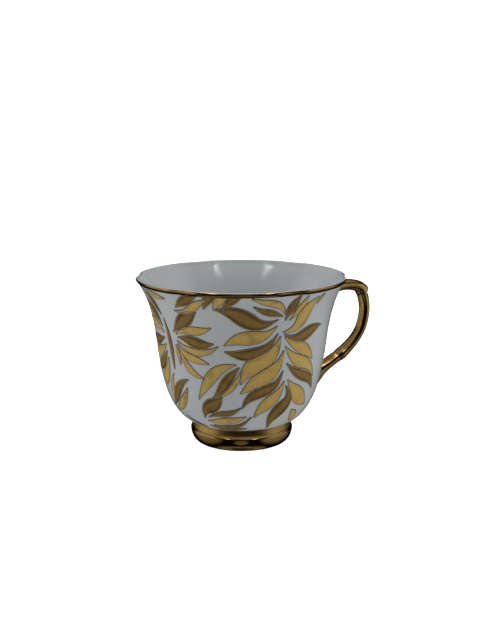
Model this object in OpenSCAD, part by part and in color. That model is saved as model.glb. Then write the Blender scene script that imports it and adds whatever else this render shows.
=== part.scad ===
// Bone china teacup: a bell-shaped bowl with a lobed lip, a turned foot ring, a cast handle
// luted to the wall with slip, burnished gilding, and gold leaf sprays printed on the glaze.
// The origin is the centre of the foot on the table. +Z is up and the handle points along +X.

/* [Bowl] */
// Diameter across the lobes of the lip
rim_d = 89; // [76:0.5:110]
// Height from the table to the top of the lip
cup_h = 72; // [58:0.5:88]
// Diameter of the waist that the flare grows from
waist_d = 72; // [60:0.5:88]
// Wall thickness low on the bowl
wall = 2.4; // [1.8:0.1:3.2]
// Wall thickness at the lip
lip_wall = 1.5; // [1.1:0.1:2]
// How quickly the belly swells above the foot
belly_fullness = 3.8; // [3:0.1:5]
// How tightly the belly turns into the underside
belly_turn = 1.7; // [1.4:0.1:2.2]
// How late the flare opens towards the lip
flare_power = 5; // [3.5:0.5:7]

/* [Lobes] */
// Number of lobes round the lip, with one pleat between each two
lobes = 6; // [4:2:8]
// Depth of a pleat at the lip
pleat_depth = 1; // [0:0.1:1.4]
// Half of a pleat's width at the lip, in degrees
pleat_half_deg = 11; // [8:1:14]
// How far a pleat runs down the wall
pleat_h = 13; // [6:1:20]

/* [Foot] */
// Diameter of the foot's ridge, its widest line
foot_d = 43.6; // [38:0.2:54]
// Diameter of the outer edge of the ring that stands on the table
contact_d = 35; // [32:0.5:44]
// Diameter of the inner edge of the ring that stands on the table
contact_bore_d = 32; // [26:0.5:34]
// Bore of the foot ring above its inner chamfer
foot_bore_d = 30; // [24:0.5:33]
// Diameter of the foot's top, where it meets the bowl
foot_top_d = 40.8; // [35:0.2:52]
// Height of the foot ring
foot_h = 9.5; // [7:0.1:12]
// Height of the ridge above the table
ridge_h = 6.2; // [4.5:0.1:6.8]
// Thickness of the slip between the foot ring and the bowl
foot_slip_t = 0.3; // [0.2:0.1:0.6]
// How far the bowl's base reaches down inside the foot ring
base_drop = 2.2; // [1:0.1:3]

/* [Handle] */
// Reach of the handle's outer face from the cup's axis
handle_reach = 65; // [56:0.5:80]
// Drop from the lip to the middle of the handle's top limb
handle_drop = 7.9; // [7:0.1:14]
// Height of the middle of the handle's lower end above the foot
handle_low = 12; // [10:0.5:16]
// Height of the handle's upper end on the wall
upper_end_h = 9.2; // [7:0.2:10]
// Width of the handle's upper end on the wall
upper_end_w = 8; // [6:0.2:10]
// Height of the handle's lower end on the wall
lower_end_h = 14; // [10:0.5:15]
// Width of the handle's lower end on the wall
lower_end_w = 6.8; // [5:0.2:8]
// Thickness of the slip pads under the handle's ends
handle_slip_t = 0.5; // [0.3:0.1:0.8]
// How far the slip pads show round the handle's ends
slip_lip = 0.5; // [0.2:0.1:0.8]

/* [Decoration] */
// Thickness of the burnished gilding
gilt_t = 0.12; // [0.08:0.02:0.2]
// Height of the gilt line down the outside of the lip
gilt_line = 1.4; // [0.8:0.1:2.5]
// Bare strip between the gilding on the foot and the table
foot_bare = 0.5; // [0.3:0.1:1.2]
// Thickness of the printed gold leaves
print_t = 0.12; // [0.08:0.02:0.2]
// Clearance between the glaze and the printed leaves
print_gap = 0.1; // [0.1:0.02:0.2]

/* [Hidden] */

china = [0.93, 0.94, 0.94];
slip_white = [0.88, 0.88, 0.86];
burnished_gold = [0.78, 0.6, 0.24];
bright_gold = [0.72, 0.58, 0.28];
dark_gold = [0.45, 0.34, 0.16];

rim_r = rim_d / 2;
waist_r = waist_d / 2;
foot_top_r = foot_top_d / 2;
ridge_r = foot_d / 2;
contact_r = contact_d / 2;
bore_r = foot_bore_d / 2;
// Clearance between pieces that are luted or laid on each other
joint_gap = 0.03;
// Clearance between the gilding and the glaze
gilt_gap = 0.04;
// Clearance round the bowl's base inside the foot ring
base_gap = 0.15;
bowl_z = foot_h + foot_slip_t;
edge_z = cup_h - lip_wall / 2;
around = 84;
turn_step = 360 / around;

// ---- The bowl's surface ----
// Radius of the plain wall at a share t of its height
function wall_profile(t) =
    foot_top_r
    + (waist_r - foot_top_r) * pow(1 - pow(1 - t, belly_fullness), 1 / belly_turn)
    + (rim_r - waist_r) * pow(t, flare_power);
function share(z) = min(1, max(0, (z - bowl_z) / (edge_z - bowl_z)));
// Distance in degrees from the middle of the nearest pleat; the handle sits mid-lobe
function pleat_off(a) =
    let (pitch = 360 / lobes, b = a - pitch / 2, near = round(b / pitch) * pitch)
    abs(b - near);
// A pleat's width at its lower end, as a share of its width at the lip
pleat_point = 0.45;
// How late a pleat deepens towards the lip
pleat_curve = 1.3;
function pleat(z, a) =
    let (
        fall = min(1, max(0, 1 - (cup_h - z) / pleat_h)),
        half_deg = pleat_half_deg * (pleat_point + (1 - pleat_point) * fall),
        s = min(1, pleat_off(a) / half_deg)
    )
    pleat_depth * pow(fall, pleat_curve) * pow(1 - s * s, 2);
function wall_r(z, a = 0) = wall_profile(share(z)) - pleat(z, a);
function on_wall(z, a, out) = let (r = wall_r(z, a) + out) [r * cos(a), r * sin(a), z];

// Wall line in the r-z plane, and its inside, which leans level towards the lip
function outer_point(t) = [wall_profile(t), bowl_z + t * (edge_z - bowl_z)];
slope_step = 0.002;
level_power = 6;
function inner_point(t) =
    let (
        d = outer_point(min(1, t + slope_step)) - outer_point(max(0, t - slope_step)),
        n = [-d.y, d.x] / norm(d),
        level = pow(t, level_power),
        m = n * (1 - level) + [-1, 0] * level,
        w = wall + (lip_wall - wall) * t
    )
    outer_point(t) + m / norm(m) * w;

// Rows up the outside: enough that the flats between them stay nearer the curve than the gold lies to it
outer_steps = ceil(sqrt((rim_r - waist_r) * flare_power * (flare_power - 1) / (8 * gilt_gap)));
inner_steps = 13;
lip_steps = 3;
// Steps crowd towards the base, where the wall turns most tightly, and are even at the lip
crowding = 1.7;
function row_share(s) = (1 - s) * pow(s, crowding) + s * s;
// Share of the height where the inside starts from the flat floor
floor_share = 0.004;
outer_line = [for (i = [0:outer_steps]) outer_point(row_share(i / outer_steps))];
inner_line = [for (i = [inner_steps:-1:0])
    inner_point(floor_share + (1 - floor_share) * pow(i / inner_steps, crowding))];
lip_line = [for (i = [1:lip_steps]) let (a = 180 * i / (lip_steps + 1))
    [rim_r - lip_wall / 2 + lip_wall / 2 * cos(a), edge_z + lip_wall / 2 * sin(a)]];
base_r = bore_r - base_gap;
base_bevel = 0.4;
bowl_line = concat(
    [[base_r - base_bevel, bowl_z - base_drop],
     [base_r, bowl_z - base_drop + base_bevel],
     [base_r, bowl_z]],
    outer_line, lip_line, inner_line);

// A closed skin through rings of points, every ring with the same count
function skin_faces(rings, count, closed = false) =
    [for (i = [0:rings - (closed ? 1 : 2)]) for (j = [0:count - 1])
        let (k = (j + 1) % count, n = (i + 1) % rings)
        each [[i * count + j, n * count + j, n * count + k],
              [i * count + j, n * count + k, i * count + k]]];
function ring_face(first, count, flip = false) =
    [for (j = [0:count - 1]) first + (flip ? count - 1 - j : j)];
function flat(rings) = [for (ring = rings) each ring];

module bowl() {
    rings = [for (p = bowl_line) [for (j = [0:around - 1])
        let (a = j * turn_step, r = p.x - pleat(p.y, a)) [r * cos(a), r * sin(a), p.y]]];
    last = len(rings) - 1;
    color(china)
        polyhedron(
            flat(rings),
            concat(
                skin_faces(len(rings), around),
                [ring_face(0, around)],
                [ring_face(last * around, around, true)]),
            10);
}

// ---- The foot ----
arc_steps = 8;
// The foot's outside: a quarter oval from the table to the ridge, then a shallow cove
foot_bulge = [for (i = [0:arc_steps]) let (a = 90 * i / arc_steps)
    [contact_r + (ridge_r - contact_r) * sin(a), ridge_h * (1 - cos(a))]];
foot_cove = [for (i = [1:arc_steps]) let (a = 90 * i / arc_steps)
    [foot_top_r + (ridge_r - foot_top_r) * (1 - sin(a)), ridge_h + (foot_h - ridge_h) * (1 - cos(a))]];
foot_outside = concat(foot_bulge, foot_cove);
chamfer_h = 1.5;

module foot_ring() {
    color(china)
        rotate_extrude($fn = 96)
            polygon(concat(
                foot_outside,
                [[bore_r, foot_h], [bore_r, chamfer_h], [contact_bore_d / 2, 0]]));
}

module foot_slip() {
    color(slip_white)
        translate([0, 0, foot_h + joint_gap])
            rotate_extrude($fn = 96)
                translate([bore_r + base_gap, 0])
                    square([foot_top_r - bore_r - 2 * base_gap, foot_slip_t - 2 * joint_gap]);
}

module foot_gilding() {
    line = [for (p = foot_outside) if (p.y > foot_bare) p];
    inside = [for (p = line) p + [gilt_gap, 0]];
    outside = [for (i = [len(line) - 1:-1:0]) line[i] + [gilt_gap + gilt_t, 0]];
    color(burnished_gold)
        rotate_extrude($fn = 96)
            polygon(concat(inside, outside));
}

// ---- The handle ----
// Each station: share of the way out from the wall, share of the way up, thickness, width
stations = [
    [0.14, 0.96, 6.4, 6.8],
    [0.29, 0.99, 5, 6],
    [0.48, 1, 4.2, 5.4],
    [0.68, 0.99, 4.2, 5.4],
    [0.85, 0.955, 5, 5.6],
    [0.93, 0.905, 6.2, 5.6],
    [0.96, 0.85, 4.6, 5.3],
    [1, 0.73, 4.4, 5.3],
    [0.98, 0.61, 4.4, 5.3],
    [0.92, 0.495, 4.4, 5.3],
    [0.8, 0.385, 4.5, 5.4],
    [0.66, 0.3, 4.9, 5.6],
    [0.55, 0.245, 6, 6],
    [0.44, 0.205, 4.9, 5.4],
    [0.33, 0.16, 5, 5.4],
    [0.22, 0.11, 6.2, 5.6],
    [0.12, 0.05, 8.8, 6]];
limb_t = 4.4;
upper_end = [upper_end_h, upper_end_w];
lower_end = [lower_end_h, lower_end_w];
// The upper end meets the wall this far below the middle of the top limb
upper_end_drop = 2.9;
handle_top_z = cup_h - handle_drop;
handle_low_z = foot_h + handle_low;
upper_end_z = handle_top_z - upper_end_drop;
corners = 16;
station_count = len(stations);

function station_point(s) =
    let (z = handle_low_z + s[1] * (handle_top_z - handle_low_z), r = wall_r(z))
    [r + s[0] * (handle_reach - limb_t / 2 - r), z];
handle_line = concat(
    [[wall_r(upper_end_z) + handle_slip_t, upper_end_z]],
    [for (s = stations) station_point(s)],
    [[wall_r(handle_low_z) + handle_slip_t, handle_low_z]]);
handle_size = concat([upper_end], [for (s = stations) [s[2], s[3]]], [lower_end]);

// Smooth curve through a list of points, by Catmull and Rom's rule
function along(list, i, u) =
    let (
        n = len(list) - 1,
        a = list[max(0, i - 1)], b = list[i], c = list[min(n, i + 1)], d = list[min(n, i + 2)]
    )
    0.5 * (2 * b + (c - a) * u + (2 * a - 5 * b + 4 * c - d) * u * u
        + (3 * b - a - 3 * c + d) * u * u * u);
// Positions along the handle, leaving out both ends, which lie on the wall
halves = [for (i = [1:station_count - 1]) each [[i, 0], [i, 0.5]], [station_count, 0]];
end_pads = [0.25, 0.5, 0.75, 1];

look = 0.05;
function behind(i, u) = u > 0 ? along(handle_line, i, u - look) : along(handle_line, i - 1, 1 - look);
function limb_ring(i, u, grow) =
    let (
        c = along(handle_line, i, u),
        s = along(handle_size, i, u),
        d = along(handle_line, i, u + look) - behind(i, u),
        n = [-d.y, d.x] / norm(d)
    )
    [for (k = [0:corners - 1])
        let (a = 360 * k / corners, q = c + n * (s[0] / 2 + grow) * cos(a))
        [q.x, (s[1] / 2 + grow) * sin(a), q.y]];
// An oval on the wall under one end of the handle, scaled about its middle
function end_ring(z, size, up, grow, out, scale = 1) =
    [for (k = [0:corners - 1])
        let (
            a = 360 * k / corners,
            y = scale * (size[1] / 2 + grow) * sin(a),
            h = z + up * scale * (size[0] / 2 + grow) * cos(a),
            r = wall_r(h) + out
        )
        [sqrt(r * r - y * y), y, h]];
function handle_rings(grow, out) = concat(
    [end_ring(upper_end_z, upper_end, 1, grow, out)],
    [for (p = halves) limb_ring(p[0], p[1], grow)],
    [end_ring(handle_low_z, lower_end, -1, grow, out)]);

// A cap that follows the wall: ovals shrinking to a point
function cap_rings(z, size, up, grow, out) =
    [for (i = [len(end_pads) - 2:-1:0]) end_ring(z, size, up, grow, out, end_pads[i])];
function wall_point(z, out) = [wall_r(z) + out, 0, z];
function fan_faces(first, tip, flip) =
    [for (j = [0:corners - 1]) let (k = (j + 1) % corners)
        flip ? [first + k, first + j, tip] : [first + j, first + k, tip]];

module handle() {
    upper_cap = cap_rings(upper_end_z, upper_end, 1, 0, handle_slip_t);
    lower_cap = cap_rings(handle_low_z, lower_end, -1, 0, handle_slip_t);
    body = handle_rings(0, handle_slip_t);
    rings = concat([for (i = [len(upper_cap) - 1:-1:0]) upper_cap[i]], body, lower_cap);
    count = len(rings) * corners;
    color(china)
        polyhedron(
            concat(flat(rings),
                [wall_point(upper_end_z, handle_slip_t), wall_point(handle_low_z, handle_slip_t)]),
            concat(
                skin_faces(len(rings), corners),
                fan_faces(0, count, false),
                fan_faces(count - corners, count + 1, true)),
            10);
}

// A pad of slip between the wall and one end of the handle
module slip_pad(z, size, up) {
    inner_out = print_gap / 2;
    outer_out = handle_slip_t - joint_gap;
    inner = cap_rings(z, size, up, slip_lip, inner_out);
    outer = cap_rings(z, size, up, slip_lip, outer_out);
    rings = concat(
        [for (i = [len(inner) - 1:-1:0]) inner[i]],
        [end_ring(z, size, up, slip_lip, inner_out), end_ring(z, size, up, slip_lip, outer_out)],
        outer);
    count = len(rings) * corners;
    color(slip_white)
        polyhedron(
            concat(flat(rings), [wall_point(z, inner_out), wall_point(z, outer_out)]),
            concat(
                skin_faces(len(rings), corners),
                fan_faces(0, count, false),
                fan_faces(count - corners, count + 1, true)),
            10);
}

module upper_handle_slip() {
    slip_pad(upper_end_z, upper_end, 1);
}

module lower_handle_slip() {
    slip_pad(handle_low_z, lower_end, -1);
}

// A thin tube of gold all along the handle, open at both ends on the slip pads
module handle_gilding() {
    inside = handle_rings(gilt_gap, handle_slip_t);
    outside = handle_rings(gilt_gap + gilt_t, handle_slip_t);
    rings = concat(outside, [for (i = [len(inside) - 1:-1:0]) inside[i]]);
    color(burnished_gold)
        polyhedron(flat(rings), skin_faces(len(rings), corners, true), 10);
}

// ---- The gilt line on the lip ----
module rim_gilding() {
    low_z = edge_z - gilt_line;
    arc_a = 55;
    lip_r = rim_r - lip_wall / 2;
    path = [[wall_profile(share(low_z)), low_z, 0],
        [wall_profile(share(low_z + gilt_line / 2)), low_z + gilt_line / 2, 0],
        [rim_r, edge_z, 0],
        [lip_r + lip_wall / 2 * cos(arc_a), edge_z + lip_wall / 2 * sin(arc_a), arc_a]];
    lift = function (p, out) [p.x + out * cos(p[2]), p.y + out * sin(p[2])];
    // The lip's arc is cut in facets, so this line stands a little further off than the rest
    gap = gilt_gap + joint_gap;
    section = concat(
        [for (p = path) lift(p, gap + gilt_t)],
        [for (i = [len(path) - 1:-1:0]) lift(path[i], gap)]);
    rings = [for (j = [0:around - 1]) let (a = j * turn_step)
        [for (q = section) let (r = q.x - pleat(q.y, a)) [r * cos(a), r * sin(a), q.y]]];
    color(burnished_gold)
        polyhedron(flat(rings), skin_faces(around, len(section), true), 10);
}

// ---- The printed leaves ----
// Direction that the main face of the decoration looks in, measured from the handle
front_a = -118;
// Millimetres along the wall for one degree, at the radius that the print is drawn for
print_k = 36 * PI / 180;
// Heights of the foot's top and of the gilt line in the drawing
print_low = 9.8;
print_high = 69.85;
// Longest step along a leaf
leaf_step = 3.2;
// Half of a leaf's width at its two points, and how full its middle is
leaf_point_w = 0.12;
leaf_fullness = 0.85;
// Leaves wider than this get a middle line, so that they bend round the wall
wide_leaf = 2.7;

// Each leaf: root angle, root height, tip angle, tip height, width, bow, sway
branch_bright = [
    [22, 57.3, -10, 49.6, 4.3, 0.7, 1.1],
    [25, 52.8, 0, 33.4, 5.8, 0.5, 1.6],
    [28, 46.6, 0, 29.4, 5, 2.3, 0.9],
    [30, 33.5, 10, 18.3, 4.2, 1, 0.7],
    [26.5, 54.6, 47, 68, 4.2, -2.1, -1.2],
    [28, 52.3, 54, 41, 3.6, 0.5, -0.4],
    [29, 48.3, 58, 33, 4.2, -0.2, -0.9],
    [33, 33.8, 57, 20.5, 5, -0.9, 0],
    [42, 19.5, 50, 13.5, 3.2, 0.4, 0]];
branch_dark = [
    [22, 60, -14, 64.6, 5.2, 2, 1.5],
    [23, 54, -10, 47, 4, 4.6, 0.3],
    [28.5, 38, 1, 22.8, 3.6, 0.6, 1.6],
    [32, 31.5, 25, 12, 5.2, 1.6, 2.2],
    [27.5, 53.6, 59, 54.8, 4.2, -2, -1],
    [31, 41, 60, 27.3, 3.8, 0.8, -1]];
fan_bright = [
    [-44, 52.4, -18, 56.6, 2.6, 0.2, 0.6],
    [-44, 49.4, -14, 49, 1.9, -3.4, 0.2],
    [-44, 48, -21, 41.4, 2.3, -1.7, -0.4],
    [-43, 46, -25, 35, 2, -2.2, 0.2],
    [-46, 47.6, -43.5, 39.6, 1.2, 0.3, 0],
    [-41, 62.6, -18, 68.8, 2.3, -1.5, -0.6]];
fan_dark = [
    [-46, 53.2, -26, 63, 4.4, 0.4, 0],
    [-43, 51, -17, 50, 3.6, -0.6, 0.5],
    [-39, 64.2, -24, 69.5, 3, 0.6, 0]];
pair_bright = [
    [-31, 25.6, -3, 41.6, 3.6, 2.8, -0.6],
    [-16, 26.8, 1, 39.6, 1.3, -1.7, 0]];
pair_dark = [
    [-20, 26.4, -1, 40.4, 3.2, -0.1, -0.3]];
sprig_bright = [
    [-28, 15.6, 4, 18.6, 2.3, -0.9, 0.2]];
sprig_dark = [
    [-30, 17, -13, 27.4, 4.8, 0.9, 0.7],
    [-26, 17.6, 0, 22.8, 1.9, -0.5, 0.5],
    [-24, 13.6, 8, 18.4, 1.5, -3, 0.4],
    [-28, 13.2, 5, 12.2, 1.1, -1.4, -0.3]];
lip_bright = [
    [-15, 65.2, -9, 69.5, 2.3, 0, 0],
    [6, 69.4, 26, 62.4, 2, 1.5, -0.6],
    [30, 59.4, 38.5, 69.2, 1.8, -0.8, 0],
    [48, 65.1, 51, 69, 0.9, 0, 0]];
lip_dark = [
    [-18.5, 65.6, -14, 69.5, 1.7, 0, 0],
    [-9, 66.2, -4, 69.6, 2.6, 0, 0],
    [7, 66, 24.5, 61.4, 1.9, -0.4, -0.2],
    [27, 59.6, 33.5, 69.6, 2.5, 0.2, 0]];
side_bright = [
    [-57, 51.6, -80, 56, 3, -0.8, 0],
    [-57, 46.6, -82, 41, 3.6, 1.6, 0],
    [-56, 41, -74, 27, 3.4, 2, 0],
    [-52.5, 34.5, -60, 20.5, 1.6, -0.8, 0]];
side_dark = [
    [-58, 54.4, -75, 64, 3.4, -0.8, 0],
    [-58, 49.4, -82.6, 47.4, 3.4, 1.1, 0],
    [-57, 43.8, -80, 34, 3.4, 1.8, 0],
    [-54.5, 58, -50.5, 37, 1.5, 0.6, 0]];
low_bright = [
    [-63, 17.2, -40, 29.6, 2.6, -2, 0],
    [-46, 67.2, -62, 69.1, 1.8, 0.4, 0]];
low_dark = [
    [-64, 19.4, -38, 33.4, 3, 0.6, -0.7],
    [-52, 15.4, -34, 11.8, 1, -0.8, 0],
    [-56, 59.4, -66, 69, 2.6, 0, 0]];

function leaf_point(leaf, t) =
    let (
        p0 = [leaf[0] * print_k, leaf[1]],
        p1 = [leaf[2] * print_k, leaf[3]],
        d = (p1 - p0) / norm(p1 - p0)
    )
    p0 + (p1 - p0) * t + [-d.y, d.x] * (leaf[5] * 4 * t * (1 - t) + leaf[6] * sin(360 * t));
function leaf_width(leaf, t) =
    leaf_point_w + leaf[4] / 2 * pow(sin(180 * pow(t, leaf_fullness)), leaf_fullness);
function leaf_steps(leaf) =
    max(4, ceil(norm([(leaf[2] - leaf[0]) * print_k, leaf[3] - leaf[1]]) / leaf_step));
function leaf_sides(leaf) = leaf[4] > wide_leaf ? [1, 0, -1] : [1, -1];

// Height on this bowl for a height in the drawing; the print stops below the gilt line
function print_z(h) =
    bowl_z + (h - print_low) * (edge_z - gilt_line - bowl_z) / (print_high - print_low);
function leaf_ring(leaf, t, turn) =
    let (
        c = leaf_point(leaf, t),
        d = leaf_point(leaf, min(1, t + 0.02)) - leaf_point(leaf, max(0, t - 0.02)),
        n = [-d.y, d.x] / norm(d),
        w = leaf_width(leaf, t),
        sides = leaf_sides(leaf),
        across = [for (s = sides) c + n * w * s]
    )
    concat(
        [for (q = across) on_wall(print_z(q.y), q.x / print_k + turn, print_gap)],
        [for (i = [len(across) - 1:-1:0])
            on_wall(print_z(across[i].y), across[i].x / print_k + turn, print_gap + print_t)]);
function leaf_rings(leaf, turn) =
    let (steps = leaf_steps(leaf)) [for (i = [0:steps]) leaf_ring(leaf, i / steps, turn)];
function shifted(faces, by) = [for (f = faces) [for (v = f) v + by]];
function leaf_faces(leaf) =
    let (rings = leaf_steps(leaf) + 1, count = 2 * len(leaf_sides(leaf)))
    concat(
        skin_faces(rings, count),
        [ring_face(0, count), ring_face((rings - 1) * count, count, true)]);
function leaf_size(leaf) = (leaf_steps(leaf) + 1) * 2 * len(leaf_sides(leaf));
function sum_before(list, i) = i == 0 ? 0 : leaf_size(list[i - 1]) + sum_before(list, i - 1);

// One node of printed leaves, turned round the cup's axis
module leaves(list, tone, turn = 0) {
    color(tone)
        polyhedron(
            [for (leaf = list) each flat(leaf_rings(leaf, front_a + turn))],
            [for (i = [0:len(list) - 1]) each shifted(leaf_faces(list[i]), sum_before(list, i))],
            10);
}

// Turns that carry the sprays to the far side and to both sides of the handle
back_turn = 180;
cheek_turn = 124;
end_turn = -92;

bowl();
foot_ring();
foot_slip();
handle();
upper_handle_slip();
lower_handle_slip();
rim_gilding();
foot_gilding();
handle_gilding();
leaves(branch_bright, bright_gold);  // branch_bright_leaves
leaves(branch_dark, dark_gold);  // branch_dark_leaves
leaves(fan_bright, bright_gold);  // fan_bright_leaves
leaves(fan_dark, dark_gold);  // fan_dark_leaves
leaves(pair_bright, bright_gold);  // pair_bright_leaves
leaves(pair_dark, dark_gold);  // pair_dark_leaves
leaves(sprig_bright, bright_gold);  // sprig_bright_leaves
leaves(sprig_dark, dark_gold);  // sprig_dark_leaves
leaves(lip_bright, bright_gold);  // lip_bright_leaves
leaves(lip_dark, dark_gold);  // lip_dark_leaves
leaves(side_bright, bright_gold);  // side_bright_leaves
leaves(side_dark, dark_gold);  // side_dark_leaves
leaves(low_bright, bright_gold);  // low_bright_leaves
leaves(low_dark, dark_gold);  // low_dark_leaves
leaves(branch_bright, bright_gold, back_turn);  // back_branch_bright_leaves
leaves(branch_dark, dark_gold, back_turn);  // back_branch_dark_leaves
leaves(fan_bright, bright_gold, back_turn);  // back_fan_bright_leaves
leaves(fan_dark, dark_gold, back_turn);  // back_fan_dark_leaves
leaves(pair_bright, bright_gold, back_turn);  // back_pair_bright_leaves
leaves(pair_dark, dark_gold, back_turn);  // back_pair_dark_leaves
leaves(sprig_bright, bright_gold, back_turn);  // back_sprig_bright_leaves
leaves(sprig_dark, dark_gold, back_turn);  // back_sprig_dark_leaves
leaves(lip_bright, bright_gold, back_turn);  // back_lip_bright_leaves
leaves(lip_dark, dark_gold, back_turn);  // back_lip_dark_leaves
leaves(fan_bright, bright_gold, cheek_turn);  // cheek_bright_leaves
leaves(fan_dark, dark_gold, cheek_turn);  // cheek_dark_leaves
leaves(pair_bright, bright_gold, end_turn);  // end_pair_bright_leaves
leaves(pair_dark, dark_gold, end_turn);  // end_pair_dark_leaves
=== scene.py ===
# %% [markdown]
# # A gilded bone china teacup
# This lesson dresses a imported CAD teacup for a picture. The CAD model is the fixed frame: it says where
# every piece is and how large it is, and nothing here may grow past it. Blender then makes each piece
# again with finer curves, and gives it the glaze or the gold that the real one has.

# %% Load the frame
import math

import bpy
import numpy as np
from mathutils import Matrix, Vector


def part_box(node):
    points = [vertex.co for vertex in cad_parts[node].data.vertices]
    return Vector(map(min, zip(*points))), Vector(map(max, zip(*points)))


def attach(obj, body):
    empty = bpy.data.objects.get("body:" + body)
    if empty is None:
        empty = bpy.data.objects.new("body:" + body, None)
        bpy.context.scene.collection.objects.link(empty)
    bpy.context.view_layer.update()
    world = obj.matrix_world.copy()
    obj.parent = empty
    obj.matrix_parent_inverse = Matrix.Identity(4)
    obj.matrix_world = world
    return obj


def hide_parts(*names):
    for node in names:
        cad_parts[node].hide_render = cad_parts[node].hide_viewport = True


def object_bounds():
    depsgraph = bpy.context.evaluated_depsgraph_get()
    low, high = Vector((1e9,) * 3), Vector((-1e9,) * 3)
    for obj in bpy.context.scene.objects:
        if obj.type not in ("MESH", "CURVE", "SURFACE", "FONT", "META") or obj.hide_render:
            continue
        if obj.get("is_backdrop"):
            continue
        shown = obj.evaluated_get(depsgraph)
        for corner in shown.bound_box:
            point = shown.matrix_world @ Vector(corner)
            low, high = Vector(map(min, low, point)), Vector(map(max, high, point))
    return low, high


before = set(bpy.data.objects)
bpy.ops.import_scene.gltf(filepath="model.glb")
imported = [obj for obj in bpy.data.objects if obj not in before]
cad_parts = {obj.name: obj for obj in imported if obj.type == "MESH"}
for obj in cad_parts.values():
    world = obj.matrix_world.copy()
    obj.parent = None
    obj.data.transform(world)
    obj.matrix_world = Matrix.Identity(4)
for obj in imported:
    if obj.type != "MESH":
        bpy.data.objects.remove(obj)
cad_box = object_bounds()
print("CAD nodes:", len(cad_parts))

# %% [markdown]
# Blender works in metres and a potter works in millimetres. All shapes below are worked out in
# millimetres and are turned to metres once, when a mesh is made. The sizes that the CAD model fixes are
# read from its boxes. The lip is widest along X, because the handle sits in the middle of a lobe.

# %% Sizes from the CAD model
MM = 0.001
bowl_box = [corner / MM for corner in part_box("bowl")]
foot_box = [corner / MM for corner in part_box("foot_ring")]
handle_box = [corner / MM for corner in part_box("handle")]
rim_r = -bowl_box[0].x
cup_h = bowl_box[1].z
ridge_r = foot_box[1].x
foot_h = foot_box[1].z
handle_reach = handle_box[1].x
print(f"lip radius {rim_r:.2f}, height {cup_h:.2f}, foot radius {ridge_r:.2f}, reach {handle_reach:.2f} mm")

# %% [markdown]
# ## Camera
# The cup is seen from a little above its lip, with the handle on the right and turned some way from the
# viewer. The camera comes first, because it decides which details are worth modelling. A long lens from
# nearly half a metre keeps the lip's oval calm, as a person sees a cup on a table.

# %% Camera
turn = math.radians(-28)
pitch = math.radians(11.2)
right = np.array([math.cos(turn), math.sin(turn), 0])
back = np.array([math.sin(turn), -math.cos(turn), 0])
up = np.array([0, 0, 1.0])
camera_data = bpy.data.cameras.new("camera")
camera_data.lens = 61.2
camera_data.sensor_width = 36
camera = bpy.data.objects.new("camera", camera_data)
aside, distance, height = 3.85, 441.4, 143.8
camera.location = (aside * right + distance * back + height * up) * MM
camera.rotation_euler = (math.pi / 2 - pitch, 0, turn)
bpy.context.scene.collection.objects.link(camera)
bpy.context.scene.camera = camera
print("camera at", [round(c, 3) for c in camera.location])

# %% [markdown]
# ## Helpers for meshes
# Nearly every piece of a cup is a skin stretched through rings of points: the bowl is rings up its wall,
# and the handle is rings along its curve. One helper joins rings with four-sided faces, and another makes
# the mesh, sets it to ride on the cup's body and hides the CAD nodes that it stands for.

# %% Skins and pieces
def skin(rows, count, first=0, closed=True, loop=False):
    """Faces through rows of points, each row with the same count of points."""
    faces = []
    for i in range(rows if loop else rows - 1):
        n = (i + 1) % rows
        for j in range(count if closed else count - 1):
            k = (j + 1) % count
            faces.append((first + i * count + j, first + i * count + k,
                          first + n * count + k, first + n * count + j))
    return faces


def make_piece(name, points, faces, finishes, stands_for=(), picks=None):
    """A smooth mesh in the cup's frame, in place of the CAD nodes that it stands for."""
    mesh = bpy.data.meshes.new(name)
    mesh.from_pydata([tuple(p) for p in np.asarray(points) * MM], [], faces)
    for finish in finishes:
        mesh.materials.append(finish)
    if picks is not None:
        mesh.polygons.foreach_set("material_index", picks)
    mesh.polygons.foreach_set("use_smooth", [True] * len(mesh.polygons))
    piece = bpy.data.objects.new(name, mesh)
    bpy.context.scene.collection.objects.link(piece)
    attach(piece, "root")
    if stands_for:
        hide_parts(*stands_for)
    return piece


# %% [markdown]
# ## Helpers for materials
# A colour is written as the hex code that a paint chart gives, and one function turns it to the linear
# light that the renderer adds up. Another function adds a node, sets it and links it. Patterns are sized
# by real millimetres: a noise of scale 1000 has one lump per millimetre, because the mesh is in metres.

# %% Colours, nodes and pattern scales
def hex_to_linear(code):
    """An sRGB hex code as linear red, green, blue and full opacity."""
    shares = [int(code[i:i + 2], 16) / 255 for i in (1, 3, 5)]
    return [s / 12.92 if s <= 0.04045 else ((s + 0.055) / 1.055) ** 2.4 for s in shares] + [1]


def add_node(tree, kind, settings=None, inputs=None):
    """Adds one node, sets its properties, and fills each input with a value or with a link."""
    node = tree.nodes.new("ShaderNode" + kind)
    for key, value in (settings or {}).items():
        setattr(node, key, value)
    for key, value in (inputs or {}).items():
        if isinstance(value, bpy.types.NodeSocket):
            tree.links.new(value, node.inputs[key])
        else:
            node.inputs[key].default_value = value
    return node


def lumps(size_mm):
    """The noise scale that gives one lump for each size in millimetres."""
    return 1000 / size_mm


def new_finish(name):
    """An empty material, its node tree and its main shader."""
    finish = bpy.data.materials.new(name)
    finish.use_nodes = True
    return finish, finish.node_tree, finish.node_tree.nodes["Principled BSDF"]


# %% [markdown]
# ## Glazed bone china
# Bone china is fired clay with a clear, hard glaze melted over it. The body is white and the glaze is
# glossy with a dielectric's reflection, so the material is a plain shader with an IOR near glass. What
# makes it real is small: the glaze lies in very soft waves, the white shifts a little between cool and
# warm, and a rare speck of iron shows through.

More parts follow.
